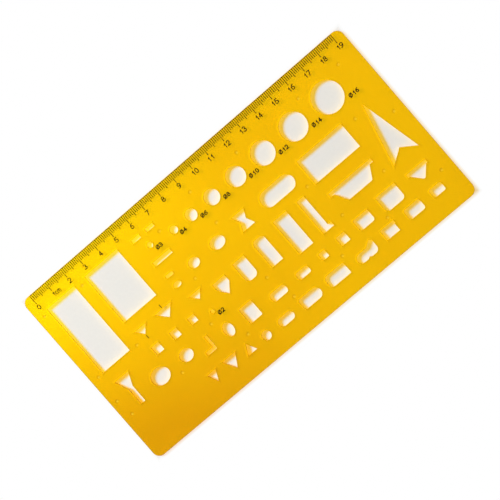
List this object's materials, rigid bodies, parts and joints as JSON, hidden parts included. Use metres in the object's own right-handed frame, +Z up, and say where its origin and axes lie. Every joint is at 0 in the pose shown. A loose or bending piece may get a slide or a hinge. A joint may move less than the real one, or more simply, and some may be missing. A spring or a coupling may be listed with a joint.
{
  "type": "drafting template",
  "caption": "Thin transparent amber drawing template with a printed centimetre scale along one long edge, labelled round holes and furniture and plumbing symbol cut-outs.",
  "frame": {"origin": "middle of the sheet, on the surface that its feet stand on", "axes": "+X along the printed scale from its zero upwards, +Y towards the scale's edge, +Z up out of the printed face"},
  "size_m": [0.2, 0.1, 0.0016],
  "materials": {
    "amber_plastic": "polished transparent amber moulding",
    "black_ink": "printed film, satin black"
  },
  "bodies": {
    "root": {"index_tick_lower": "black_ink", "index_tick_upper": "black_ink", "label_10_sign": "black_ink", "label_10_tens": "black_ink", "label_10_units": "black_ink", "label_12_sign": "black_ink", "label_12_tens": "black_ink", "label_12_units": "black_ink", "label_14_sign": "black_ink", "label_14_tens": "black_ink", "label_14_units": "black_ink", "label_16_sign": "black_ink", "label_16_tens": "black_ink", "label_16_units": "black_ink", "label_2_sign": "black_ink", "label_2_units": "black_ink", "label_3_sign": "black_ink", "label_3_units": "black_ink", "label_4_sign": "black_ink", "label_4_units": "black_ink", "label_6_sign": "black_ink", "label_6_units": "black_ink", "label_8_sign": "black_ink", "label_8_units": "black_ink", "scale_0_units": "black_ink", "scale_10_tens": "black_ink", "scale_10_units": "black_ink", "scale_11_tens": "black_ink", "scale_11_units": "black_ink", "scale_12_tens": "black_ink", "scale_12_units": "black_ink", "scale_13_tens": "black_ink", "scale_13_units": "black_ink", "scale_14_tens": "black_ink", "scale_14_units": "black_ink", "scale_15_tens": "black_ink", "scale_15_units": "black_ink", "scale_16_tens": "black_ink", "scale_16_units": "black_ink", "scale_17_tens": "black_ink", "scale_17_units": "black_ink", "scale_18_tens": "black_ink", "scale_18_units": "black_ink", "scale_19_tens": "black_ink", "scale_19_units": "black_ink", "scale_1_units": "black_ink", "scale_2_units": "black_ink", "scale_3_units": "black_ink", "scale_4_units": "black_ink", "scale_5_units": "black_ink", "scale_6_units": "black_ink", "scale_7_units": "black_ink", "scale_8_units": "black_ink", "scale_9_units": "black_ink", "scale_graduations": "black_ink", "scale_unit_c": "black_ink", "scale_unit_m": "black_ink", "template_sheet": "amber_plastic"}
  },
  "joints": []
}
